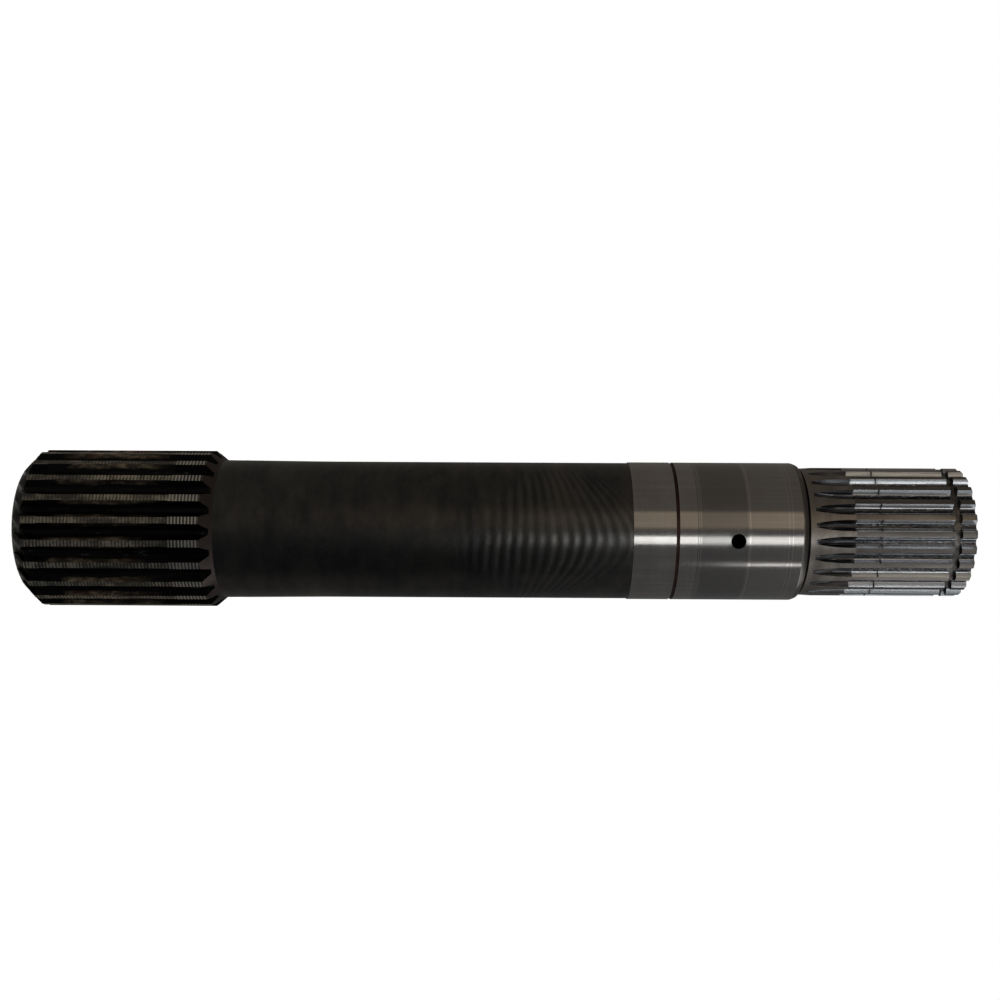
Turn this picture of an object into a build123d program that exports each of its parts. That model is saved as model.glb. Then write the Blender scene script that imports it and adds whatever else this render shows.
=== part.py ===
from build123d import *
import os
from math import acos, cos, degrees, pi, radians, sin, tan

# Splined shaft, turned and cut from one steel bar.  It stands on its larger end.
# Z runs along the shaft from the face of the drive end.  Lengths are in mm.
# Angles are about Z, counted from the radial oil hole, which faces -Y.

shaft_length = 557.0
oil_hole_heading = -90.0

# Drive spline at the larger end: involute, 30 degree flanks
drive_module = 4.0
drive_teeth = 22
drive_reference_d = 95.0
drive_root_fillet = 0.6
drive_tooth_turn = -13.7      # one crest, counted from the oil hole
drive_length = 109.3          # face to the inboard end of the crests
drive_chamfer = 8.0           # 45 degree lead-in on the end face
drive_taper = 6.5             # run of the cone from the crests to the body
drive_taper_blend = 1.5

# Engagement bevel on the leading side of every drive tooth end
bevel_crest_reach = 8.5       # how far it runs up the crest from the face
bevel_face_reach = 1.1        # where it leaves the lead-in cone
bevel_face_offset = -1.35     # sideways from the middle of the tooth
bevel_tilt = 19.0             # from the lead-in cone towards the flank
bevel_width = 2.6

# Output spline at the smaller end: involute, 30 degree flanks
output_module = 3.0
output_teeth = 25
output_reference_d = 78.0
output_tooth_turn = -6.4
output_start = 466.8
output_lead_in = 0.35
output_end_chamfer = 0.8
output_runout_start = 483.3   # full tooth depth up to here, from the small end
output_cutter_r = 62.0        # milling cutter that leaves the run-out pockets

# Body and running journal
body_d = 82.0
journal_d = 83.0
journal_start = 358.2
journal_end = 455.9
journal_lead_in = 3.0
journal_lead_in_drop = 1.1
neck_d = 76.7

# Oil groove, oil hole and the gallery that feeds it
oil_groove_z = 383.8
oil_groove_width = 1.8
oil_groove_depth = 0.5
oil_hole_z = 418.5
oil_hole_d = 8.0
oil_hole_break = 0.4
gallery_d = 12.0
gallery_sump = 10.0           # drilled this far past the oil hole

# Retaining ring groove in the output spline
ring_groove_z = 544.1
ring_groove_width = 4.1
ring_groove_d = 71.0

# Lathe centres in both end faces
centre_angle = 60.0
drive_centre_d = 20.0
drive_pilot_d = 6.3
drive_pilot_depth = 14.0
output_centre_d = 20.0

# Band that the mated hub has worn into the drive flanks
drive_wear_start = 16.6
drive_wear_end = 91.5
drive_wear_depth = 0.3
wear_above_root = 0.9

pressure_angle = radians(30.0)
cut_margin = 1.5              # how far a cutter stands clear of the bar


def tip_d(module, reference_d):
    return reference_d - 0.2 * module


def root_d(module, reference_d):
    return reference_d - 2.3 * module


def involute(angle):
    return tan(angle) - angle


def space_half_angle(radius, module, teeth, reference_d):
    """Half of the angle that one tooth space spans at a radius, in radians."""
    pitch_d = module * teeth
    shift = (reference_d - pitch_d - 1.1 * module) / 2
    tooth = pi * module / 2 + 2 * shift * tan(pressure_angle)
    base_r = pitch_d / 2 * cos(pressure_angle)
    at_radius = involute(acos(base_r / radius))
    return pi / teeth - (tooth / pitch_d + involute(pressure_angle) - at_radius)


def polar(radius, angle):
    return (radius * cos(angle), radius * sin(angle))


def space_profile(floor_r, outer_r, widen, module, teeth, reference_d):
    """One tooth space about +X: two involute flanks over a round floor."""
    radii = (floor_r, (floor_r + outer_r) / 2, outer_r)
    halves = [
        space_half_angle(r, module, teeth, reference_d) + widen / r for r in radii
    ]
    upper = [polar(r, half) for r, half in zip(radii, halves)]
    lower = [polar(r, -half) for r, half in zip(radii, halves)]
    with BuildLine() as outline:
        ThreePointArc(*upper)
        Line(upper[-1], lower[-1])
        ThreePointArc(*reversed(lower))
        ThreePointArc(lower[0], (floor_r, 0), upper[0])
    return outline.line


def space_sketch(plane, floor_r, widen, module, teeth, reference_d):
    outer_r = tip_d(module, reference_d) / 2 + cut_margin
    with BuildSketch(plane) as sketch:
        with BuildLine():
            add(space_profile(floor_r, outer_r, widen, module, teeth, reference_d))
        make_face()
    return sketch.sketch


drive_tip_r = tip_d(drive_module, drive_reference_d) / 2
output_tip_r = tip_d(output_module, output_reference_d) / 2
shoulder_z = journal_end + journal_lead_in
gallery_end = oil_hole_z - gallery_sump
drive_taper_end = drive_length + drive_taper

drive_spec = (drive_module, drive_teeth, drive_reference_d)
output_spec = (output_module, output_teeth, output_reference_d)

drive_root_r = root_d(drive_module, drive_reference_d) / 2
output_root_r = root_d(output_module, output_reference_d) / 2

# One space of the drive spline, cut straight through over the body
with BuildPart() as drive_space:
    with BuildSketch(Plane.XY.offset(-cut_margin)) as drive_gap:
        add(space_sketch(Plane.XY, drive_root_r, 0, *drive_spec))
        fillet(drive_gap.vertices().group_by(Axis.X)[0], drive_root_fillet)
    extrude(amount=drive_taper_end + 2 * cut_margin)

# The band that the mated hub has worn into its flanks, clear of the root
with BuildPart() as drive_wear:
    wear_plane = Plane.XY.offset(drive_wear_start)
    add(space_sketch(wear_plane, drive_root_r + wear_above_root, drive_wear_depth, *drive_spec))
    extrude(amount=drive_wear_end - drive_wear_start)

# One space of the output spline: straight from the small end, then lifted out
# of the bar along the round of the milling cutter
cutter_lift = output_tip_r + cut_margin - output_root_r
cutter_sweep = degrees(acos(1 - cutter_lift / output_cutter_r))
with BuildPart() as output_space:
    runout_gap = space_sketch(Plane.XY.offset(output_runout_start), output_root_r, 0, *output_spec)
    add(runout_gap)
    extrude(amount=shaft_length + cut_margin - output_runout_start)
    cutter_axis = Axis((output_root_r + output_cutter_r, 0, output_runout_start), (0, 1, 0))
    revolve(runout_gap.faces(), axis=cutter_axis, revolution_arc=-cutter_sweep)


def bevel_plane():
    """Plane of the engagement bevel on the tooth about +X, its X along the cut edge."""
    crest_half = pi / drive_teeth - space_half_angle(drive_tip_r, *drive_spec)
    face_r = drive_tip_r - drive_chamfer + bevel_face_reach
    low = Vector(face_r, bevel_face_offset, bevel_face_reach)
    high = Vector(drive_tip_r, drive_tip_r * sin(crest_half), bevel_crest_reach)
    edge = (high - low).normalized()
    cone_normal = Vector(1, 0, -1).normalized()
    square = (cone_normal - edge * cone_normal.dot(edge)).normalized()
    normal = square.rotate(Axis((0, 0, 0), edge), -bevel_tilt)
    return Plane(origin=(low + high) * 0.5, x_dir=edge, z_dir=normal)


with BuildPart() as splined_shaft:
    # Bar turned to its steps
    with BuildSketch(Plane.XZ) as half_section:
        with BuildLine():
            Polyline(
                (0, 0),
                (drive_tip_r - drive_chamfer, 0),
                (drive_tip_r, drive_chamfer),
                (drive_tip_r, drive_length),
                (body_d / 2, drive_taper_end),
                (body_d / 2, journal_start),
                (journal_d / 2, journal_start),
                (journal_d / 2, journal_end),
                (journal_d / 2 - journal_lead_in_drop, shoulder_z),
                (neck_d / 2, shoulder_z),
                (neck_d / 2, output_start),
                (output_tip_r, output_start + output_lead_in),
                (output_tip_r, shaft_length - output_end_chamfer),
                (output_tip_r - output_end_chamfer, shaft_length),
                (0, shaft_length),
                close=True,
            )
        make_face()
        taper_foot = (body_d / 2, drive_taper_end)
        fillet(half_section.vertices().sort_by_distance(taper_foot)[0], drive_taper_blend)
    revolve(axis=Axis.Z)

    # Tooth spaces of both splines and the worn bands on the drive flanks
    half_drive_pitch = 180 / drive_teeth
    half_output_pitch = 180 / output_teeth
    drive_heading = oil_hole_heading + drive_tooth_turn
    output_heading = oil_hole_heading + output_tooth_turn
    with PolarLocations(0, drive_teeth, start_angle=drive_heading + half_drive_pitch):
        add(drive_space.part, mode=Mode.SUBTRACT)
        add(drive_wear.part, mode=Mode.SUBTRACT)
    with PolarLocations(0, output_teeth, start_angle=output_heading + half_output_pitch):
        add(output_space.part, mode=Mode.SUBTRACT)

    # Engagement bevels
    with PolarLocations(0, drive_teeth, start_angle=drive_heading):
        with Locations(bevel_plane().location):
            Box(
                2 * drive_chamfer,
                bevel_width,
                drive_chamfer / 2,
                align=(Align.CENTER, Align.MIN, Align.MIN),
                mode=Mode.SUBTRACT,
            )

    # Oil groove round the journal and ring groove round the output spline
    with BuildSketch(Plane.XZ):
        with Locations((journal_d / 2, oil_groove_z)):
            Rectangle(2 * oil_groove_depth, oil_groove_width)
        with Locations((ring_groove_d / 2, ring_groove_z)):
            Rectangle(
                output_tip_r + cut_margin - ring_groove_d / 2,
                ring_groove_width,
                align=(Align.MIN, Align.MIN),
            )
    revolve(axis=Axis.Z, mode=Mode.SUBTRACT)

    # Lathe centres, with the oil gallery drilled on from the small one
    with Locations(Location((0, 0, 0), (180, 0, 0))):
        CounterSinkHole(drive_pilot_d / 2, drive_centre_d / 2, drive_pilot_depth, centre_angle)
    with Locations((0, 0, shaft_length)):
        CounterSinkHole(
            gallery_d / 2, output_centre_d / 2, shaft_length - gallery_end, centre_angle
        )

    # Radial oil hole into the gallery
    hole_plane = Plane(
        origin=(0, -journal_d / 2, oil_hole_z), x_dir=(1, 0, 0), z_dir=(0, -1, 0)
    )
    with Locations(hole_plane.location):
        Hole(oil_hole_d / 2, depth=journal_d / 2)
        Cone(
            oil_hole_d / 2,
            oil_hole_d / 2 + oil_hole_break,
            oil_hole_break,
            align=(Align.CENTER, Align.CENTER, Align.MAX),
            mode=Mode.SUBTRACT,
        )

splined_shaft.part.label = "splined_shaft"
os.makedirs("parts", exist_ok=True)
export_step(splined_shaft.part, "parts/splined_shaft.step")
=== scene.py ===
import math

import bpy
import numpy as np
from mathutils import Matrix, Vector


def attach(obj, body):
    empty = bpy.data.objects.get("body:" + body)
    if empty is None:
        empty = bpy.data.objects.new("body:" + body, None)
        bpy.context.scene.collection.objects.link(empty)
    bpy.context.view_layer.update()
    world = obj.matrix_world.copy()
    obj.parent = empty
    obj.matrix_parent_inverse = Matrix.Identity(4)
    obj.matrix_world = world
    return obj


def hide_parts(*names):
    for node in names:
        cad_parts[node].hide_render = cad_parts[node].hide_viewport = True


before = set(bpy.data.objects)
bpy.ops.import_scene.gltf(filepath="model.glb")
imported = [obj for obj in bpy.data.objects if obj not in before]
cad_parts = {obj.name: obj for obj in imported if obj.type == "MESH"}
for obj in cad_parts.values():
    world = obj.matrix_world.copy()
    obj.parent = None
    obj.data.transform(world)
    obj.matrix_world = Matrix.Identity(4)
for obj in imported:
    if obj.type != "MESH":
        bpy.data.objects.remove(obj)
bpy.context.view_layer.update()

# Splined shaft, standing on its larger end.  Lengths of the shaft are in mm and
# become metres where the mesh is made; the stage is in metres.
MM = 0.001
SHAFT_LENGTH = 557.0
OIL_HOLE_HEADING = math.radians(-90)

# Drive spline at the larger end
DRIVE = {"module": 4.0, "teeth": 22, "reference_d": 95.0, "heading": math.radians(-103.7)}
DRIVE_LENGTH = 109.3
DRIVE_TAPER_END = 115.8
DRIVE_FLOOR_END = 114.25      # where the tooth spaces run out of the taper
DRIVE_CHAMFER = 8.0
DRIVE_WEAR = (16.6, 91.5, 0.3)
BEVEL_LOW = (1.1, -1.35)      # reach along the shaft, offset across the tooth
BEVEL_REACH = 8.5
BEVEL_TILT = math.radians(19)

# Output spline at the smaller end
OUTPUT = {"module": 3.0, "teeth": 25, "reference_d": 78.0, "heading": math.radians(-96.4)}
OUTPUT_START = 466.8
OUTPUT_FULL_DEPTH = 483.3
OUTPUT_CUTTER_R = 62.0
OUTPUT_WEAR = (487.1, SHAFT_LENGTH, 0.18)
OUTPUT_RIDGE = (501.8, 502.6)  # narrow stretch that no hub has touched
RING_GROOVE = (544.1, 548.2, 35.5)
END_CHAMFER = 0.8

# Body, its chatter ripples, journal and neck
BODY_R = 41.05
BODY_SWELL = 0.55             # thicker beside the drive spline
BODY_SWELL_END = 178.0
RIPPLE_START = 252.0
RIPPLE_END = 358.2
RIPPLE_PITCH = 6.6
RIPPLE_DEPTH = 0.085
RIPPLE_BEND_START = 285       # straight rings below this height, bowed arcs above
RIPPLE_BOW_BEFORE = 30.0      # before and after the oil hole's heading
RIPPLE_BOW_AFTER = 46.0
RIPPLE_HEIGHTS = (252, 275, 295, 320, 358)
RIPPLE_REACH_BEFORE = (0.40, 0.55, 1.20, 1.40, 0.60)  # radians, at those heights
RIPPLE_REACH_AFTER = (0.10, 0.60, 1.30, 1.20, 0.25)
JOURNAL_R = 41.5
JOURNAL = (358.2, 455.9)
SHOULDER_Z = 458.9
SHOULDER_R = 40.4
NECK_R = 38.35
NECK_BLEND = 8.0              # run over which the neck grows into the small teeth
UNDERCUT = 0.25               # in the corner between shoulder and neck
OIL_GROOVE = (382.9, 384.7, 0.5)
OIL_HOLE_Z = 418.5
OIL_HOLE_R = 4.0
OIL_HOLE_BREAK = 0.4
GALLERY_R = 6.0
GALLERY_END = 408.5
CENTRE_R = 10.0
PILOT_R = 3.15
PILOT_DEPTH = 14.0

PRESSURE_ANGLE = math.radians(30)
FLOOR_FLAT = 0.45             # share of a tooth space's floor that is flat
FLOOR_ROUND = 0.55            # rise of the rest towards the flanks
CENTRE_HALF_ANGLE = math.radians(30)

# Divisions of the mesh
ROUND_COLUMNS = 200
CREST_STEPS = 6
FLANK_STEPS = 4
FLOOR_STEPS = 6
HOLE_BLOCK = 4                # quads from the middle of the oil hole to its edge
SHARP_ANGLE = math.radians(24)


# ---------------------------------------------------------------- tooth form
def tip_r(spec):
    return (spec["reference_d"] - 0.2 * spec["module"]) / 2


def root_r(spec):
    return (spec["reference_d"] - 2.3 * spec["module"]) / 2


def involute(angle):
    return math.tan(angle) - angle


def tooth_half(spec, radius):
    """Half of the angle that one tooth spans at a radius."""
    pitch_d = spec["module"] * spec["teeth"]
    shift = (spec["reference_d"] - pitch_d - 1.1 * spec["module"]) / 2
    tooth = math.pi * spec["module"] / 2 + 2 * shift * math.tan(PRESSURE_ANGLE)
    base_r = pitch_d / 2 * math.cos(PRESSURE_ANGLE)
    at_radius = involute(math.acos(min(1, base_r / radius)))
    return tooth / pitch_d + involute(PRESSURE_ANGLE) - at_radius


def cut_half(spec, radius, lift):
    """Half angle of the tooth where the cutter is lifted out of the bar."""
    low = max(radius - lift, root_r(spec) - 0.2)
    space = math.pi / spec["teeth"] - tooth_half(spec, low)
    return math.pi / spec["teeth"] - space * low / radius


def floor_rise(across):
    """Height of the rounded foot of a tooth space, across running from -1 to 1."""
    return FLOOR_ROUND * max(0, abs(across) - FLOOR_FLAT) ** 2 * 3.3


def tooth_columns(spec, outer, lift, wear):
    """Angles from the middle of a tooth, radii and zones over one pitch."""
    floor = min(root_r(spec) + lift, outer)
    pitch = 2 * math.pi / spec["teeth"]
    foot = cut_half(spec, max(floor, root_r(spec)), lift)
    crest = min(cut_half(spec, max(outer, floor), lift) - wear / outer, foot - 0.0015)
    angles, radii, zones = [], [], []
    for i in range(CREST_STEPS + 1):
        angles.append(crest * (2 * i / CREST_STEPS - 1))
        radii.append(outer)
        zones.append("crest")
    zones[-1] = "flank"
    for i in range(1, FLANK_STEPS):
        share = i / FLANK_STEPS
        angles.append(crest + (foot - crest) * share ** 0.9)
        radii.append(outer + (floor - outer) * share)
        zones.append("flank")
    for i in range(FLOOR_STEPS + 1):
        across = 2 * i / FLOOR_STEPS - 1
        angles.append(foot + (pitch - 2 * foot) * i / FLOOR_STEPS)
        radii.append(min(floor + floor_rise(across), outer))
        zones.append("floor")
    zones[-1] = "flank"
    for i in range(1, FLANK_STEPS):
        share = 1 - i / FLANK_STEPS
        angles.append(pitch - crest - (foot - crest) * share ** 0.9)
        radii.append(outer + (floor - outer) * share)
        zones.append("flank")
    return np.array(angles), np.array(radii), zones


def bevel_radius(angles, z):
    """Radius of the engagement bevel's plane over the tooth about angle 0."""
    top = tip_r(DRIVE)
    low = Vector((top - DRIVE_CHAMFER + BEVEL_LOW[0], BEVEL_LOW[1], BEVEL_LOW[0]))
    high = Vector((top, top * math.sin(tooth_half(DRIVE, top)), BEVEL_REACH))
    edge = (high - low).normalized()
    cone = Vector((1, 0, -1)).normalized()
    square = (cone - edge * cone.dot(edge)).normalized()
    normal = Matrix.Rotation(BEVEL_TILT, 3, edge) @ square
    reach = normal.x * np.cos(angles) + normal.y * np.sin(angles)
    return (normal.dot(low) - normal.z * z) / reach


def spline_ring(spec, z, outer, lift=0.0, wear=0.0, bevel=False):
    angles, radii, zones = tooth_columns(spec, outer, lift, wear)
    if bevel:
        radii = np.minimum(radii, np.maximum(bevel_radius(angles, z), root_r(spec) - 4))
    pitch = 2 * math.pi / spec["teeth"]
    teeth = range(spec["teeth"])
    turn = np.concatenate([angles + spec["heading"] + k * pitch for k in teeth])
    return {"z": z, "angle": turn, "r": np.tile(radii, spec["teeth"]), "zone": zones}


def round_ring(z, radius, like=None):
    if like is None:
        step = 2 * math.pi / ROUND_COLUMNS
        angle = OIL_HOLE_HEADING + step * np.arange(ROUND_COLUMNS)
    else:
        angle = like["angle"]
    return {"z": z, "angle": angle, "r": np.full(len(angle), float(radius)), "zone": ["round"]}


# ---------------------------------------------------------------- mesh of the shaft
class Shell:
    """Vertices and faces of the shaft, grown ring by ring."""

    def __init__(self):
        self.points = []
        self.faces = []
        self.finish = []
        self.ripple = []

    def add(self, ring):
        start = len(self.points)
        self.ripple += [0.0] * (start - len(self.ripple))
        self.ripple += list(ring.get("ripple", [0.0] * len(ring["angle"])))
        for angle, radius in zip(ring["angle"], ring["r"]):
            self.points.append((radius * math.cos(angle), radius * math.sin(angle), ring["z"]))
        ring["first"] = start
        return ring

    def face(self, corners, finish):
        self.faces.append(corners)
        self.finish.append(finish)

    def join(self, low, high, finish, skip=()):
        """Quads between two rings of one count; finish is a name or one for each zone."""
        count = len(low["angle"])
        zones = low["zone"]
        for i in range(count):
            if i in skip:
                continue
            j = (i + 1) % count
            name = finish if isinstance(finish, str) else finish[zones[i % len(zones)]]
            corners = (low["first"] + i, low["first"] + j, high["first"] + j, high["first"] + i)
            self.face(corners, name)

    def stitch(self, low, high, finish):
        """Triangles between two rings of different counts."""
        below = order_by_angle(low)
        above = order_by_angle(high)
        i = j = 0
        while i < len(below) - 1 or j < len(above) - 1:
            next_low = below[i + 1][0] if i < len(below) - 1 else math.inf
            next_high = above[j + 1][0] if j < len(above) - 1 else math.inf
            if next_low <= next_high:
                self.face((below[i][1], below[i + 1][1], above[j][1]), finish)
                i += 1
            else:
                self.face((below[i][1], above[j + 1][1], above[j][1]), finish)
                j += 1

    def close(self, ring, z, finish, upward):
        """Fan from a ring to a point on the axis."""
        tip = len(self.points)
        self.points.append((0, 0, z))
        count = len(ring["angle"])
        for i in range(count):
            a, b = ring["first"] + i, ring["first"] + (i + 1) % count
            self.face((a, b, tip) if upward else (b, a, tip), finish)


def order_by_angle(ring):
    turns = np.mod(ring["angle"], 2 * math.pi)
    order = np.argsort(turns)
    pairs = [(float(turns[i]), ring["first"] + int(i)) for i in order]
    return pairs + [(pairs[0][0] + 2 * math.pi, pairs[0][1])]


def spaced(start, end, step):
    return list(np.linspace(start, end, max(2, round((end - start) / step) + 1)))


def soft_step(z, start, end, run):
    """1 between start and end, 0 outside, with short even runs."""
    rise = min(1, max(0, (z - start) / run))
    fall = min(1, max(0, (end - z) / run))
    return rise * fall


def drive_outer(z):
    top = tip_r(DRIVE)
    if z < DRIVE_CHAMFER:
        return top - DRIVE_CHAMFER + z
    if z > DRIVE_LENGTH:
        share = (z - DRIVE_LENGTH) / (DRIVE_TAPER_END - DRIVE_LENGTH)
        return top + (BODY_R + BODY_SWELL - top) * share
    return top


def drive_rings():
    start, end, depth = DRIVE_WEAR
    marks = [start - 0.6, start, start + 0.5, end - 0.5, end, end + 0.6]
    rows = spaced(0, 9, 0.5) + spaced(12, 15, 3) + marks[:3] + spaced(20, 89, 4)
    rows += marks[3:] + spaced(95, DRIVE_LENGTH, 3)
    rows += spaced(110, DRIVE_FLOOR_END, 0.9) + [DRIVE_TAPER_END]
    for z in sorted(set(round(row, 3) for row in rows)):
        wear = depth * soft_step(z, start, end, 0.5)
        yield spline_ring(DRIVE, z, drive_outer(z), wear=wear, bevel=z < 11)


def ripple_phase(from_hole, z):
    share = max(0, z - RIPPLE_BEND_START) / 60
    before = RIPPLE_BOW_BEFORE * share ** 1.5
    after = RIPPLE_BOW_AFTER * share ** 1.1
    bow = np.where(from_hole > 0, after, before) * np.abs(from_hole) ** 2.05
    drift = 0.8 * np.sin(2.3 * from_hole + z / 23) + 0.4 * np.sin(z / 9 + 4 * from_hole)
    return 2 * math.pi * (z + bow) / RIPPLE_PITCH + drift


def ripple(angle, z):
    """Chatter that the turning tool left on the side of the oil hole."""
    if z < RIPPLE_START:
        return 0 * angle
    from_hole = np.mod(angle - OIL_HOLE_HEADING + math.pi, 2 * math.pi) - math.pi
    before = np.interp(z, RIPPLE_HEIGHTS, RIPPLE_REACH_BEFORE)
    after = np.interp(z, RIPPLE_HEIGHTS, RIPPLE_REACH_AFTER)
    reach = np.where(from_hole > 0, after, before)
    ends = min(1, (z - RIPPLE_START) / 10) * min(1, (RIPPLE_END - z) / 1.5)
    fade = np.exp(-(from_hole / reach) ** 6) * ends
    beat = 0.7 + 0.3 * np.sin(5 * from_hole + z / 11) * np.sin(z / 19 - 2 * from_hole)
    return RIPPLE_DEPTH * fade * beat * np.sin(ripple_phase(from_hole, z))


def body_rings():
    rows = [DRIVE_TAPER_END + 1.2] + spaced(120, 248, 8) + spaced(251, JOURNAL[0], 0.85)
    for z in rows:
        share = max(0, 1 - (z - DRIVE_TAPER_END) / (BODY_SWELL_END - DRIVE_TAPER_END))
        ring = round_ring(z, BODY_R + BODY_SWELL * share)
        height = ripple(ring["angle"], z)
        ring["r"] = ring["r"] + height
        ring["ripple"] = height / RIPPLE_DEPTH
        yield ring


def journal_rings():
    cell = 2 * math.pi / ROUND_COLUMNS * JOURNAL_R
    start, end, depth = OIL_GROOVE
    round_edge = 0.15
    yield "step", round_ring(JOURNAL[0], JOURNAL_R - round_edge)
    yield "wall", round_ring(JOURNAL[0] + round_edge, JOURNAL_R)
    for z in spaced(364, start - 0.2, 6):
        yield "wall", round_ring(z, JOURNAL_R)
    yield "wall", round_ring(start - 0.1, JOURNAL_R)
    for z, r in ((start, -0.1), (start, -depth), (end, -depth), (end, -0.1), (end + 0.1, 0)):
        yield "groove", round_ring(z, JOURNAL_R + r)
    for z in spaced(390, OIL_HOLE_Z - cell * (HOLE_BLOCK + 1), 6):
        yield "wall", round_ring(z, JOURNAL_R)
    for step in range(-HOLE_BLOCK, HOLE_BLOCK + 1):
        yield "hole", hole_row(step, cell)
    for z in spaced(OIL_HOLE_Z + cell * (HOLE_BLOCK + 1), JOURNAL[1] - 0.4, 6):
        yield "wall", round_ring(z, JOURNAL_R)


def hole_row(step, cell):
    """One row of the journal, its points beside the oil hole moved on to the hole's edge."""
    ring = round_ring(OIL_HOLE_Z + step * cell, JOURNAL_R)
    ring["z_of"] = {}
    edge_r = OIL_HOLE_R + OIL_HOLE_BREAK
    angle = ring["angle"].copy()
    for across in range(-HOLE_BLOCK, HOLE_BLOCK + 1):
        if max(abs(across), abs(step)) < HOLE_BLOCK:
            continue
        away = math.hypot(across, step)
        s, up = edge_r * across / away, edge_r * step / away
        angle[across % ROUND_COLUMNS] = OIL_HOLE_HEADING + math.asin(s / JOURNAL_R)
        ring["z_of"][across % ROUND_COLUMNS] = OIL_HOLE_Z + up
    ring["angle"] = angle
    return ring


def add_hole_row(shell, ring):
    shell.add(ring)
    for column, z in ring["z_of"].items():
        x, y, _ = shell.points[ring["first"] + column]
        shell.points[ring["first"] + column] = (x, y, z)


def oil_hole(shell, rows):
    """The wall of the oil hole, from the ring of points that the journal left open."""
    last = HOLE_BLOCK
    edge = [(last, s) for s in range(-last, last)]
    edge += [(-s, last) for s in range(-last, last)]
    edge += [(-last, -s) for s in range(-last, last)]
    edge += [(s, -last) for s in range(-last, last)]
    loop = [rows[step]["first"] + across % ROUND_COLUMNS for across, step in edge]
    floor_y = -(GALLERY_R + 1.0)
    for radius, depth in ((OIL_HOLE_R, OIL_HOLE_BREAK), (OIL_HOLE_R, 6.0), (OIL_HOLE_R, None)):
        inner = []
        for across, step in edge:
            away = math.hypot(across, step)
            x, z = radius * across / away, OIL_HOLE_Z + radius * step / away
            y = floor_y if depth is None else -(math.sqrt(JOURNAL_R ** 2 - x ** 2) - depth)
            inner.append(len(shell.points))
            shell.points.append((x, y, z))
        for i in range(len(loop)):
            j = (i + 1) % len(loop)
            shell.face((loop[i], loop[j], inner[j], inner[i]), "bore")
        loop = inner
    middle = len(shell.points)
    shell.points.append((0, floor_y, OIL_HOLE_Z))
    for i in range(len(loop)):
        shell.face((loop[i], loop[(i + 1) % len(loop)], middle), "bore")


def output_outer(z):
    top = tip_r(OUTPUT)
    if z > SHAFT_LENGTH - END_CHAMFER:
        return top - (z - SHAFT_LENGTH + END_CHAMFER)
    share = min(1, max(0, (z - OUTPUT_START + NECK_BLEND / 2) / NECK_BLEND))
    return NECK_R + (top - NECK_R) * share * share * (3 - 2 * share)


def output_lift(z):
    before = OUTPUT_FULL_DEPTH - z
    if before <= 0:
        return 0.0
    return OUTPUT_CUTTER_R - math.sqrt(OUTPUT_CUTTER_R ** 2 - before ** 2)


def output_wear(z):
    start, end, depth = OUTPUT_WEAR
    worn = soft_step(z, start, end + 5, 0.25)
    ridge = soft_step(z, OUTPUT_RIDGE[0] - 0.2, OUTPUT_RIDGE[1] + 0.2, 0.2)
    return depth * worn * (1 - ridge)


def output_rings():
    start, end, groove_r = RING_GROOVE
    low, high = OUTPUT_RIDGE
    rows = spaced(SHOULDER_Z + 2.4, 463.5, 2) + spaced(464, OUTPUT_FULL_DEPTH, 0.9)
    rows += [485, 487.1, 487.35]
    rows += [490, 494, 498, low - 0.2, low, high, high + 0.2] + spaced(506, 542, 4)
    rows += [SHAFT_LENGTH - 5, SHAFT_LENGTH - END_CHAMFER, SHAFT_LENGTH]
    rows = sorted(set(round(row, 3) for row in rows))
    for z in rows:
        if z == SHAFT_LENGTH - 5:
            yield from groove_rings(start, end, groove_r)
        yield spline_ring(OUTPUT, z, output_outer(z), output_lift(z), output_wear(z))


def groove_rings(start, end, groove_r):
    """Both walls and the floor of the ring groove, with the teeth's own columns."""
    wear = OUTPUT_WEAR[2]
    for z, floor in ((start, False), (start, True), (end, True), (end, False)):
        ring = spline_ring(OUTPUT, z, tip_r(OUTPUT), 0.0, wear)
        if floor:
            ring["r"] = np.minimum(ring["r"], groove_r)
        ring["groove"] = floor
        yield ring


def drive_finish(z):
    if z < DRIVE_CHAMFER - 0.01:
        return {"crest": "lead_in", "flank": "drive_flank", "floor": "drive_root_face"}
    if z > DRIVE_FLOOR_END - 0.01:
        return {"crest": "taper", "flank": "taper", "floor": "taper"}
    if z > DRIVE_LENGTH - 0.2:
        return {"crest": "taper", "flank": "drive_floor", "floor": "drive_floor"}
    flank = "drive_worn" if DRIVE_WEAR[0] <= z < DRIVE_WEAR[1] else "drive_flank"
    return {"crest": "drive_crest", "flank": flank, "floor": "drive_floor"}


def output_finish(z):
    if z < OUTPUT_START - 3:
        return {"crest": "neck", "flank": "neck", "floor": "neck"}
    if z < OUTPUT_WEAR[0] - 0.1:
        return {"crest": "neck", "flank": "pocket", "floor": "pocket"}
    if OUTPUT_RIDGE[0] - 0.01 <= z < OUTPUT_RIDGE[1]:
        return {"crest": "output_crest", "flank": "pocket", "floor": "output_floor"}
    return {"crest": "output_crest", "flank": "output_flank", "floor": "output_floor"}


def build_drive(shell):
    last = None
    for ring in drive_rings():
        shell.add(ring)
        if last is None:
            drive_end_face(shell, ring)
        else:
            shell.join(last, ring, drive_finish(last["z"]))
        last = ring
    return last


def drive_end_face(shell, rim):
    """Face, countersink and pilot of the lathe centre in the larger end."""
    cone_depth = (CENTRE_R - PILOT_R) / math.tan(CENTRE_HALF_ANGLE)
    outer = rim
    for z, radius in ((0, 30), (0, CENTRE_R), (cone_depth, PILOT_R), (PILOT_DEPTH, PILOT_R)):
        inner = shell.add(round_ring(z, radius, rim))
        shell.join(inner, outer, "end_face")
        outer = inner
    shell.close(outer, PILOT_DEPTH + PILOT_R / 2, "bore", upward=False)


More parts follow.
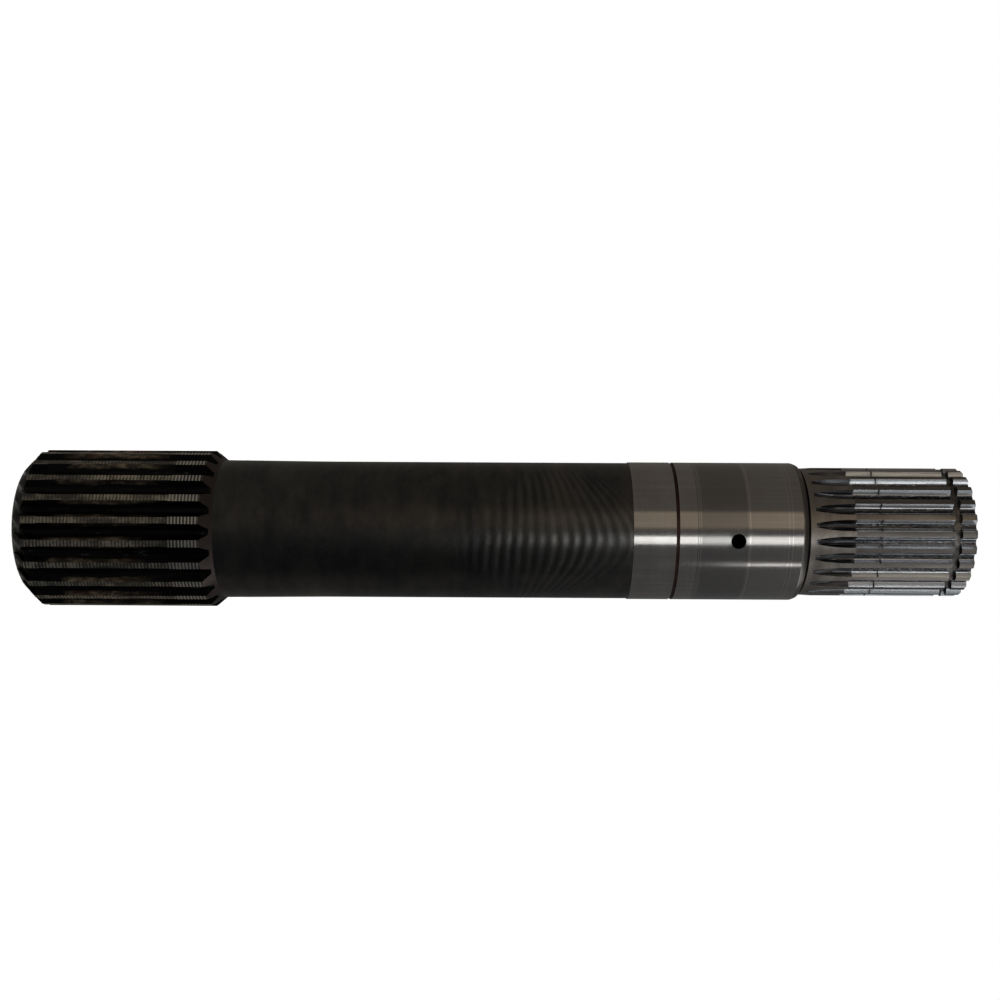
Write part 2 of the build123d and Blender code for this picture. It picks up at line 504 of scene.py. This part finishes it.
def build_body(shell, last):
    first = True
    for ring in body_rings():
        shell.add(ring)
        if first:
            shell.stitch(last, ring, "body")
        else:
            shell.join(last, ring, "body")
        first = False
        last = ring
    return last


def build_journal(shell, last):
    columns = set(i % ROUND_COLUMNS for i in range(-HOLE_BLOCK, HOLE_BLOCK))
    hole_rows = {}
    step = -HOLE_BLOCK
    was_hole = False
    for kind, ring in journal_rings():
        if kind == "hole":
            add_hole_row(shell, ring)
            hole_rows[step] = ring
            step += 1
        else:
            shell.add(ring)
        skip = columns if kind == "hole" and was_hole else ()
        shell.join(last, ring, "oil_groove" if kind == "groove" else "journal", skip)
        was_hole = kind == "hole"
        last = ring
    oil_hole(shell, hole_rows)
    steps = (
        (JOURNAL[1], JOURNAL_R, "journal"),
        (JOURNAL[1] + 1.0, JOURNAL_R - 0.25, "lead_on"),
        (JOURNAL[1] + 2.0, JOURNAL_R - 0.65, "lead_on"),
        (SHOULDER_Z, SHOULDER_R, "lead_on"),
        # The shoulder face and the undercut at its foot take the near-black shoulder finish:
        # painted shadow in the corner
        (SHOULDER_Z, NECK_R - UNDERCUT, "shoulder"),
        (SHOULDER_Z + 1.5, NECK_R - UNDERCUT, "shoulder"),
        (SHOULDER_Z + 1.9, NECK_R, "shoulder"),
    )
    for z, radius, finish in steps:
        ring = shell.add(round_ring(z, radius))
        shell.join(last, ring, finish)
        last = ring
    return last


def build_output(shell, last):
    first = True
    for ring in output_rings():
        shell.add(ring)
        if first:
            shell.stitch(last, ring, "neck")
        elif ring.get("groove") or last.get("groove"):
            shell.join(last, ring, "ring_groove")
        else:
            shell.join(last, ring, output_finish(last["z"]))
        first = False
        last = ring
    output_end_face(shell, last)


def output_end_face(shell, rim):
    """Face, lathe centre and oil gallery in the smaller end."""
    cone_depth = (CENTRE_R - GALLERY_R) / math.tan(CENTRE_HALF_ANGLE)
    last = rim
    inward = (
        (SHAFT_LENGTH, 34.5),
        (SHAFT_LENGTH, CENTRE_R),
        (SHAFT_LENGTH - cone_depth, GALLERY_R),
        (GALLERY_END, GALLERY_R),
    )
    for z, radius in inward:
        ring = shell.add(round_ring(z, radius, rim))
        shell.join(last, ring, "bore" if z == GALLERY_END else "end_face")
        last = ring
    shell.close(last, GALLERY_END - GALLERY_R / 2, "bore", upward=True)


def build_shaft():
    shell = Shell()
    last = build_drive(shell)
    last = build_body(shell, last)
    last = build_journal(shell, last)
    build_output(shell, last)
    mesh = bpy.data.meshes.new("shaft")
    points = (np.array(shell.points) * MM).tolist()
    mesh.from_pydata(points, [], shell.faces)
    names = sorted(set(shell.finish))
    for name in names:
        mesh.materials.append(make_finish(name))
    mesh.polygons.foreach_set("material_index", [names.index(name) for name in shell.finish])
    mesh.polygons.foreach_set("use_smooth", [True] * len(shell.faces))
    mesh.update()
    shell.ripple += [0.0] * (len(shell.points) - len(shell.ripple))
    ripple_height = mesh.attributes.new("ripple", "FLOAT", "POINT")
    ripple_height.data.foreach_set("value", shell.ripple)
    mesh.set_sharp_from_angle(angle=SHARP_ANGLE)
    piece = bpy.data.objects.new("shaft_steelwork", mesh)
    bpy.context.collection.objects.link(piece)
    return piece


# ---------------------------------------------------------------- materials
TURNING_PITCH = 1.95          # of the marks on the large crests, mm


class Nodes:
    """Short names for the shader nodes that the finishes share."""

    def __init__(self, name):
        self.material = bpy.data.materials.new(name)
        self.material.use_nodes = True
        self.tree = self.material.node_tree
        self.shader = self.tree.nodes["Principled BSDF"]
        self.place = self.tree.nodes.new("ShaderNodeTexCoord").outputs["Object"]

    def link(self, source, target):
        self.tree.links.new(source, target)

    def noise(self, around, along, detail=4, rough=0.6):
        """Noise with so many grains in a metre around and along the shaft."""
        mapping = self.tree.nodes.new("ShaderNodeMapping")
        mapping.inputs["Scale"].default_value = (around, around, along)
        self.link(self.place, mapping.inputs["Vector"])
        noise = self.tree.nodes.new("ShaderNodeTexNoise")
        noise.inputs["Scale"].default_value = 1
        noise.inputs["Detail"].default_value = detail
        noise.inputs["Roughness"].default_value = rough
        self.link(mapping.outputs["Vector"], noise.inputs["Vector"])
        return noise.outputs["Fac"]

    def ramp(self, value, low, high, start=0.0, end=1.0):
        node = self.tree.nodes.new("ShaderNodeMapRange")
        node.inputs["From Min"].default_value = low
        node.inputs["From Max"].default_value = high
        node.inputs["To Min"].default_value = start
        node.inputs["To Max"].default_value = end
        self.link(value, node.inputs["Value"])
        return node.outputs["Result"]

    def maths(self, operation, a, b=None):
        node = self.tree.nodes.new("ShaderNodeMath")
        node.operation = operation
        for socket, value in zip(node.inputs, (a, b)):
            if value is None:
                continue
            if isinstance(value, (int, float)):
                socket.default_value = value
            else:
                self.link(value, socket)
        return node.outputs["Value"]

    def blend(self, share, a, b):
        node = self.tree.nodes.new("ShaderNodeMix")
        node.data_type = "RGBA"
        self.link(share, node.inputs["Factor"])
        for socket, value in ((node.inputs["A"], a), (node.inputs["B"], b)):
            if isinstance(value, tuple):
                socket.default_value = (*value, 1)
            else:
                self.link(value, socket)
        return node.outputs["Result"]

    def attribute(self, name):
        node = self.tree.nodes.new("ShaderNodeAttribute")
        node.attribute_name = name
        return node.outputs["Fac"]

    def radius_mm(self):
        flat = self.tree.nodes.new("ShaderNodeVectorMath")
        flat.operation = "MULTIPLY"
        flat.inputs[1].default_value = (1000, 1000, 0)
        self.link(self.place, flat.inputs[0])
        length = self.tree.nodes.new("ShaderNodeVectorMath")
        length.operation = "LENGTH"
        self.link(flat.outputs["Vector"], length.inputs[0])
        return length.outputs["Value"]

    def height_mm(self):
        split = self.tree.nodes.new("ShaderNodeSeparateXYZ")
        self.link(self.place, split.inputs["Vector"])
        return self.maths("MULTIPLY", split.outputs["Z"], 1000)

    def band(self, start, end, soft=0.3):
        """1 between two heights in mm."""
        z = self.height_mm()
        rise = self.ramp(z, start - soft, start + soft)
        fall = self.ramp(z, end - soft, end + soft, 1, 0)
        return self.maths("MULTIPLY", rise, fall)

    def bump(self, height, distance_mm):
        node = self.tree.nodes.new("ShaderNodeBump")
        node.inputs["Distance"].default_value = distance_mm * MM
        node.inputs["Strength"].default_value = 1
        self.link(height, node.inputs["Height"])
        self.link(node.outputs["Normal"], self.shader.inputs["Normal"])

    def finish(self, colour, roughness, metallic=1.0):
        for name, value in (("Base Color", colour), ("Roughness", roughness)):
            socket = self.shader.inputs[name]
            if isinstance(value, tuple):
                socket.default_value = (*value, 1)
            elif isinstance(value, (int, float)):
                socket.default_value = value
            else:
                self.link(value, socket)
        self.shader.inputs["Metallic"].default_value = metallic
        return self.material


def mottled(name, light, dark, rough, around=60, along=60):
    """Steel whose tone drifts between two colours, with a fine grain over it."""
    n = Nodes(name)
    drift = n.ramp(n.noise(around, along, 5), 0.35, 0.65)
    grain = n.noise(2500, 2500, 3)
    share = n.maths("ADD", n.maths("MULTIPLY", drift, 0.75), n.ramp(grain, 0.3, 0.7, 0, 0.25))
    n.bump(grain, 0.01)
    colour = n.blend(share, dark, light)
    return n.finish(colour, n.ramp(drift, 0, 1, rough * 1.15, rough * 0.9))


def body_steel():
    """Oil-blackened bar with upright smudges and faint turning marks, and painted highlight and
    shade along its chatter ripples.
    """
    n = Nodes("oiled_body")
    smudge = n.ramp(n.noise(14, 50, 6, 0.65), 0.38, 0.66)
    patch = n.ramp(n.noise(70, 90, 6, 0.7), 0.4, 0.7)
    turned = n.noise(3, 2200, 3)
    share = n.maths("ADD", n.maths("MULTIPLY", smudge, 0.6), n.maths("MULTIPLY", patch, 0.4))
    colour = n.blend(share, (0.066, 0.066, 0.067), (0.165, 0.154, 0.136))
    # Painted highlight on the ripple crests and painted shade in their troughs, following the
    # ripple height
    ripple_height = n.attribute("ripple")
    colour = n.blend(n.ramp(ripple_height, 0.1, 1, 0, 0.5), colour, (0.185, 0.185, 0.185))
    colour = n.blend(n.ramp(ripple_height, -0.1, -1, 0, 0.55), colour, (0.04, 0.04, 0.042))
    grain = n.noise(1400, 1400, 3)
    relief = n.maths("ADD", n.maths("MULTIPLY", turned, 0.5), n.maths("MULTIPLY", grain, 0.5))
    n.bump(relief, 0.003)
    return n.finish(colour, n.ramp(smudge, 0, 1, 0.35, 0.29))


def journal_steel():
    """Ground band: rubbed rings round the shaft and streaks along it."""
    n = Nodes("ground_journal")
    rings = n.noise(2, 900, 5, 0.7)
    streaks = n.ramp(n.noise(520, 7, 4, 0.75), 0.38, 0.62)
    scratches = n.noise(1500, 7, 5, 0.75)
    stain = n.ramp(n.noise(40, 70, 5), 0.4, 0.7)
    colour = n.blend(n.ramp(rings, 0.3, 0.7), (0.40, 0.375, 0.35), (0.47, 0.445, 0.415))
    colour = n.blend(n.maths("MULTIPLY", streaks, 0.4), colour, (0.60, 0.59, 0.58))
    colour = n.blend(n.maths("MULTIPLY", stain, 0.25), colour, (0.26, 0.21, 0.18))
    dull = n.band(397.2, 424.1, 0.8)
    colour = n.blend(n.maths("MULTIPLY", dull, 0.6), colour, (0.20, 0.195, 0.19))
    fitted = n.band(425, 457, 0.8)
    colour = n.blend(n.maths("MULTIPLY", fitted, 0.4), colour, (0.29, 0.275, 0.26))
    for start, end in ((395.0, 395.35), (396.1, 396.4)):
        line = n.maths("MULTIPLY", n.band(start, end, 0.12), 0.75)
        colour = n.blend(line, colour, (0.10, 0.09, 0.09))
    for start, end in ((425.0, 425.6), (447.4, 447.8), (449.6, 450.0)):
        line = n.maths("MULTIPLY", n.band(start, end, 0.15), 0.5)
        colour = n.blend(line, colour, (0.65, 0.6, 0.55))
    relief = n.maths("ADD", n.maths("MULTIPLY", rings, 0.5), n.maths("MULTIPLY", scratches, 3.0))
    n.bump(relief, 0.0022)
    rough = n.ramp(rings, 0.3, 0.7, 0.13, 0.19)
    rough = n.maths("ADD", rough, n.maths("MULTIPLY", dull, 0.03))
    rough = n.maths("ADD", rough, n.maths("MULTIPLY", streaks, -0.05))
    return n.finish(colour, rough)


def drive_crest_steel():
    """Crests with the turning marks still on them, brightest beside the taper."""
    n = Nodes("drive_crest")
    z = n.height_mm()
    wave = n.maths("SINE", n.maths("MULTIPLY", z, 2 * math.pi / TURNING_PITCH))
    uneven = n.noise(110, 150, 5, 0.75)
    lines = n.ramp(n.maths("ADD", wave, n.ramp(uneven, 0.3, 0.7, -1.9, 1.9)), -0.6, 0.9)
    worn = n.ramp(n.noise(60, 22, 5, 0.65), 0.42, 0.58)
    colour = n.blend(lines, (0.15, 0.137, 0.115), (0.82, 0.73, 0.57))
    dull = n.blend(worn, (0.12, 0.113, 0.10), (0.42, 0.38, 0.31))
    colour = n.blend(n.ramp(worn, 0, 1, 0.1, 0.95), dull, colour)
    fresh = n.maths("MULTIPLY", n.band(92, 109, 0.6), n.ramp(wave, -0.2, 0.6))
    colour = n.blend(fresh, colour, (0.92, 0.87, 0.77))
    n.bump(wave, 0.012)
    return n.finish(colour, 0.38)


def drive_worn_steel():
    """The flanks where the hub ran: a brown, rusted and rubbed strip below the crests with patches
    of black oil, and near-black painted shade below the strip.
    """
    n = Nodes("drive_worn")
    rust = n.ramp(n.noise(260, 120, 6, 0.7), 0.46, 0.62)
    oil_and_shade = n.ramp(n.noise(90, 26, 5, 0.6), 0.42, 0.58)
    ragged = n.maths("ADD", n.radius_mm(), n.ramp(n.noise(200, 60, 4), 0.3, 0.7, -0.7, 0.7))
    strip = n.ramp(ragged, tip_r(DRIVE) - 2.6, tip_r(DRIVE) - 1.3)
    along = n.maths("ADD", n.height_mm(), n.ramp(n.noise(70, 30, 5, 0.7), 0.3, 0.7, -9, 9))
    begun = n.ramp(along, DRIVE_WEAR[0] + 7, DRIVE_WEAR[0] + 12)
    strip = n.maths("MULTIPLY", strip, n.maths("MULTIPLY", begun, n.ramp(along, 84, 66)))
    # Below the strip the flank is near-black: painted shade between the teeth, joined to the oil
    # patches
    oil_and_shade = n.maths("MAXIMUM", n.maths("MULTIPLY", oil_and_shade, 0.8), n.maths("SUBTRACT", 1.0, strip))
    colour = n.blend(rust, (0.09, 0.072, 0.056), (0.42, 0.33, 0.22))
    red = n.ramp(n.noise(150, 40, 5), 0.55, 0.68)
    colour = n.blend(n.maths("MULTIPLY", red, 0.6), colour, (0.16, 0.045, 0.028))
    colour = n.blend(oil_and_shade, colour, (0.008, 0.008, 0.009))
    n.bump(rust, 0.03)
    return n.finish(colour, n.ramp(oil_and_shade, 0, 1, 0.5, 0.3), 0.8)


def drive_floor_steel():
    """Near-black floor between the large teeth, its darkness painted shade, with a few rubbed grey
    patches.
    """
    n = Nodes("drive_floor")
    drift = n.ramp(n.noise(90, 24, 4), 0.35, 0.65)
    patch = n.ramp(n.noise(75, 42, 5, 0.7), 0.60, 0.66)
    # The near-black colour is painted shade deep in the tooth spaces
    colour = n.blend(drift, (0.007, 0.007, 0.0075), (0.026, 0.026, 0.026))
    colour = n.blend(n.maths("MULTIPLY", patch, 0.8), colour, (0.15, 0.155, 0.165))
    n.bump(patch, 0.02)
    return n.finish(colour, 0.35)


def output_flank_steel():
    """Bright worn flanks with fine streaks along the teeth."""
    n = Nodes("output_flank")
    streaks = n.ramp(n.noise(1500, 40, 4, 0.7), 0.35, 0.7)
    pits = n.ramp(n.noise(700, 320, 5, 0.7), 0.62, 0.70)
    colour = n.blend(streaks, (0.42, 0.43, 0.45), (0.80, 0.82, 0.85))
    colour = n.blend(n.maths("MULTIPLY", pits, 0.6), colour, (0.2, 0.17, 0.15))
    n.bump(n.maths("SUBTRACT", n.maths("MULTIPLY", streaks, 0.3), pits), 0.015)
    return n.finish(colour, n.ramp(streaks, 0, 1, 0.3, 0.2))


def output_floor_steel():
    """Oily floors between the small teeth, streaked along them and sparkling where bare."""
    n = Nodes("output_floor")
    streaks = n.ramp(n.noise(1100, 14, 4, 0.6), 0.42, 0.6)
    pits = n.ramp(n.noise(1300, 900, 4, 0.75), 0.52, 0.62)
    bare = n.maths("MULTIPLY", pits, n.ramp(n.noise(300, 60, 4), 0.4, 0.6, 0.35, 1))
    colour = n.blend(streaks, (0.010, 0.010, 0.011), (0.085, 0.082, 0.082))
    colour = n.blend(n.maths("MULTIPLY", bare, 0.7), colour, (0.60, 0.60, 0.62))
    n.bump(pits, 0.012)
    return n.finish(colour, 0.22)


# Finishes with a maker of their own
WORKED_FINISHES = {
    "body": body_steel,
    "journal": journal_steel,
    "drive_crest": drive_crest_steel,
    "drive_worn": drive_worn_steel,
    "drive_floor": drive_floor_steel,
    "output_flank": output_flank_steel,
    "output_floor": output_floor_steel,
}

# The rest: light and dark colour, roughness, and the noise around and along
MOTTLED_FINISHES = {
    "oil_groove": ((0.10, 0.055, 0.045), (0.045, 0.028, 0.026), 0.5),
    "lead_on": ((0.26, 0.235, 0.215), (0.15, 0.135, 0.125), 0.3),
    # Near-black shoulder finish: painted shadow in the corner between shoulder and neck
    "shoulder": ((0.012, 0.011, 0.011), (0.006, 0.006, 0.006), 0.5),
    "neck": ((0.36, 0.32, 0.28), (0.22, 0.195, 0.175), 0.36, 30, 130),
    "pocket": ((0.15, 0.15, 0.155), (0.015, 0.015, 0.017), 0.26, 420, 40),
    "lead_in": ((0.05, 0.048, 0.042), (0.014, 0.0138, 0.013), 0.42, 90, 90),
    "drive_root_face": ((0.045, 0.045, 0.038), (0.018, 0.018, 0.016), 0.5),
    # Near-black flanks of the large teeth: painted shade between the teeth
    "drive_flank": ((0.02, 0.02, 0.02), (0.007, 0.007, 0.0075), 0.35, 90, 30),
    "taper": ((0.125, 0.095, 0.086), (0.075, 0.062, 0.057), 0.42, 70, 70),
    "output_crest": ((0.31, 0.28, 0.25), (0.15, 0.132, 0.118), 0.26, 200, 26),
    "ring_groove": ((0.26, 0.24, 0.225), (0.05, 0.047, 0.044), 0.36, 300, 300),
    "end_face": ((0.20, 0.19, 0.17), (0.09, 0.085, 0.08), 0.4, 60, 60),
    "bore": ((0.03, 0.03, 0.03), (0.01, 0.01, 0.01), 0.6),
}


def make_finish(name):
    if name in WORKED_FINISHES:
        return WORKED_FINISHES[name]()
    return mottled(name, *MOTTLED_FINISHES[name])


# ---------------------------------------------------------------- camera
# It looks across the standing shaft, from just beside the oil hole's heading,
# and is turned so that the small end points to the right.
CAMERA_HEADING = math.radians(-98.2)
CAMERA_DISTANCE = 0.7339
CAMERA_HEIGHT = 0.28133
CAMERA_LENS = 43.452
CAMERA_SHIFT_Y = 0.030
CAMERA_ROLL = math.radians(0.30)


def direction(angle):
    return Vector((math.cos(angle), math.sin(angle), 0))


def make_camera():
    data = bpy.data.cameras.new("camera")
    data.lens = CAMERA_LENS
    data.sensor_width = 36
    data.shift_y = CAMERA_SHIFT_Y
    data.clip_start = 0.05
    data.clip_end = 50
    cam = bpy.data.objects.new("camera", data)
    bpy.context.collection.objects.link(cam)
    back = direction(CAMERA_HEADING)
    up = Vector((0, 0, 1))
    across = back.cross(up)
    right = math.cos(CAMERA_ROLL) * up + math.sin(CAMERA_ROLL) * across
    above = math.cos(CAMERA_ROLL) * across - math.sin(CAMERA_ROLL) * up
    turn = Matrix((right, above, back)).transposed().to_4x4()
    place = Matrix.Translation(back * CAMERA_DISTANCE + up * CAMERA_HEIGHT)
    cam.matrix_world = place @ turn
    bpy.context.scene.camera = cam


# ---------------------------------------------------------------- stage
def glow(name, colour, strength, top_strength):
    """Emission, growing with height unless top_strength is None."""
    material = bpy.data.materials.new(name)
    material.use_nodes = True
    tree = material.node_tree
    tree.nodes.clear()
    out = tree.nodes.new("ShaderNodeOutputMaterial")
    emission = tree.nodes.new("ShaderNodeEmission")
    emission.inputs["Color"].default_value = (*colour, 1)
    emission.inputs["Strength"].default_value = strength
    tree.links.new(emission.outputs["Emission"], out.inputs["Surface"])
    if top_strength is not None:
        place = tree.nodes.new("ShaderNodeNewGeometry")
        split = tree.nodes.new("ShaderNodeSeparateXYZ")
        ramp = tree.nodes.new("ShaderNodeMapRange")
        ramp.inputs["From Min"].default_value = 0.2
        ramp.inputs["From Max"].default_value = 0.75
        ramp.inputs["To Min"].default_value = strength
        ramp.inputs["To Max"].default_value = top_strength
        tree.links.new(place.outputs["Position"], split.inputs["Vector"])
        tree.links.new(split.outputs["Z"], ramp.inputs["Value"])
        tree.links.new(ramp.outputs["Result"], emission.inputs["Strength"])
    return material


def card(name, degrees_from, degrees_to, low, high, radius, material):
    """A strip of a cylinder round the shaft, its degrees counted from the camera's heading."""
    steps = max(1, round(abs(degrees_to - degrees_from) / 6))
    points, faces = [], []
    for i in range(steps + 1):
        share = i / steps
        angle = CAMERA_HEADING + math.radians(degrees_from + (degrees_to - degrees_from) * share)
        spot = direction(angle) * radius
        points += [(spot.x, spot.y, low), (spot.x, spot.y, high)]
    for i in range(steps):
        faces.append((2 * i, 2 * i + 1, 2 * i + 3, 2 * i + 2))
    place_card(name, points, faces, material)


def lid(name, z, inner_r, outer_r, degrees_from, degrees_to, material):
    """A flat ring, or part of one, over or under the shaft that only its steel sees."""
    turns = np.radians(np.linspace(degrees_from, degrees_to, 65)) + CAMERA_HEADING
    points = []
    for radius in (inner_r, outer_r):
        points += [(radius * math.cos(a), radius * math.sin(a), z) for a in turns]
    count = len(turns)
    faces = [(i, i + 1, i + 1 + count, i + count) for i in range(count - 1)]
    place_card(name, points, faces, material)


def place_card(name, points, faces, material):
    mesh = bpy.data.meshes.new(name)
    mesh.from_pydata(points, [], faces)
    mesh.materials.append(material)
    piece = bpy.data.objects.new(name, mesh)
    bpy.context.collection.objects.link(piece)
    piece.visible_camera = False
    piece.visible_shadow = False


# A dim room round the shaft, with a window and a warm wall that its steel reflects:
# degrees from and to, low and high edge, radius, colour, strength, and the strength
# at the top where it grows with height
CARDS = {
    "room_upper": (-180, 0, -0.3, 1.6, 1.30, (1.0, 0.92, 0.82), 0.10, 0.122),
    "room_lower": (0, 180, -0.3, 1.6, 1.30, (0.97, 0.98, 1.0), 0.075, 0.122),
    "dark_low": (13, 80, -0.3, 0.42, 1.2, (0.82, 0.9, 1.0), 0.02, None),
    "warm_wall": (-31, -4, 0.1, 1.5, 1.2, (1.0, 0.86, 0.70), 0.17, 0.43),
    "window": (9, 21, 0.43, 1.15, 1.1, (0.96, 0.99, 1.0), 2.1, None),
    "high_pane": (26, 62, 0.81, 1.5, 1.1, (0.93, 0.97, 1.0), 0.34, None),
    "side_pane": (62, 108, 0.80, 1.5, 1.1, (0.93, 0.97, 1.0), 0.8, None),
    "low_gleam": (54, 58, 0.62, 0.76, 1.1, (0.97, 0.99, 1.0), 2.3, None),
}

# Its top and the shaded table: height, inner and outer radius, degrees, colour, strength
LIDS = {
    "room_top": (1.6, 0.001, 1.35, 0, 360, (1.0, 0.97, 0.92), 0.07),
    "table_shade": (0.001, 0.04, 1.35, 0, 360, (1.0, 0.95, 0.88), 0.11),
    "table_dark": (0.002, 0.06, 1.35, 7, 84, (0.85, 0.92, 1.0), 0.05),
}


def make_surroundings():
    for name, (*form, colour, strength, top_strength) in CARDS.items():
        card(name, *form, glow(name, colour, strength, top_strength))
    for name, (*form, colour, strength) in LIDS.items():
        lid(name, *form, glow(name, colour, strength, None))


def white_for_looks(tree, dim):
    """Strength 1 for camera, glossy and transmission rays, and dim for the rest."""
    path = tree.nodes.new("ShaderNodeLightPath")
    total = path.outputs["Is Camera Ray"]
    for name in ("Is Glossy Ray", "Is Transmission Ray"):
        node = tree.nodes.new("ShaderNodeMath")
        node.operation = "MAXIMUM"
        tree.links.new(total, node.inputs[0])
        tree.links.new(path.outputs[name], node.inputs[1])
        total = node.outputs["Value"]
    ramp = tree.nodes.new("ShaderNodeMapRange")
    ramp.inputs["To Min"].default_value = dim
    ramp.inputs["To Max"].default_value = 1
    tree.links.new(total, ramp.inputs["Value"])
    return ramp.outputs["Result"]


def make_world():
    world = bpy.data.worlds.new("world")
    bpy.context.scene.world = world
    world.use_nodes = True
    background = world.node_tree.nodes["Background"]
    background.inputs["Color"].default_value = (1, 1, 1, 1)
    world.node_tree.links.new(white_for_looks(world.node_tree, 0.5), background.inputs["Strength"])


FLOOR_R = 0.6


def make_floor():
    """White table top that glows nearly white and still takes the shaft's shadow."""
    turns = np.linspace(0, 2 * math.pi, 97)[:-1]
    rim = [(FLOOR_R * math.cos(a), FLOOR_R * math.sin(a), 0) for a in turns]
    mesh = bpy.data.meshes.new("floor")
    mesh.from_pydata(rim, [], [tuple(range(len(rim)))])
    material = bpy.data.materials.new("floor")
    material.use_nodes = True
    shader = material.node_tree.nodes["Principled BSDF"]
    shader.inputs["Base Color"].default_value = (0.8, 0.8, 0.8, 1)
    shader.inputs["Roughness"].default_value = 0.9
    shader.inputs["Emission Color"].default_value = (1, 1, 1, 1)
    looks = white_for_looks(material.node_tree, 0.05)
    scale = material.node_tree.nodes.new("ShaderNodeMath")
    scale.operation = "MULTIPLY"
    scale.inputs[1].default_value = 0.93
    material.node_tree.links.new(looks, scale.inputs[0])
    material.node_tree.links.new(scale.outputs["Value"], shader.inputs["Emission Strength"])
    mesh.materials.append(material)
    piece = bpy.data.objects.new("floor", mesh)
    bpy.context.collection.objects.link(piece)


def make_fill():
    """Weak plain light from in front, for the shadow on the floor."""
    data = bpy.data.lights.new("fill", "AREA")
    data.shape = "DISK"
    data.size = 0.6
    data.energy = 2
    lamp = bpy.data.objects.new("fill", data)
    bpy.context.collection.objects.link(lamp)
    spot = direction(CAMERA_HEADING + math.radians(-40)) * 1.2 + Vector((0, 0, 0.9))
    turn = spot.to_track_quat("Z", "Y").to_matrix().to_4x4()
    lamp.matrix_world = Matrix.Translation(spot) @ turn
    lamp.visible_glossy = False


shaft = build_shaft()
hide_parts("splined_shaft")
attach(shaft, "root")
make_camera()
make_world()
make_surroundings()
make_floor()
make_fill()
bpy.context.scene.view_settings.view_transform = "Standard"
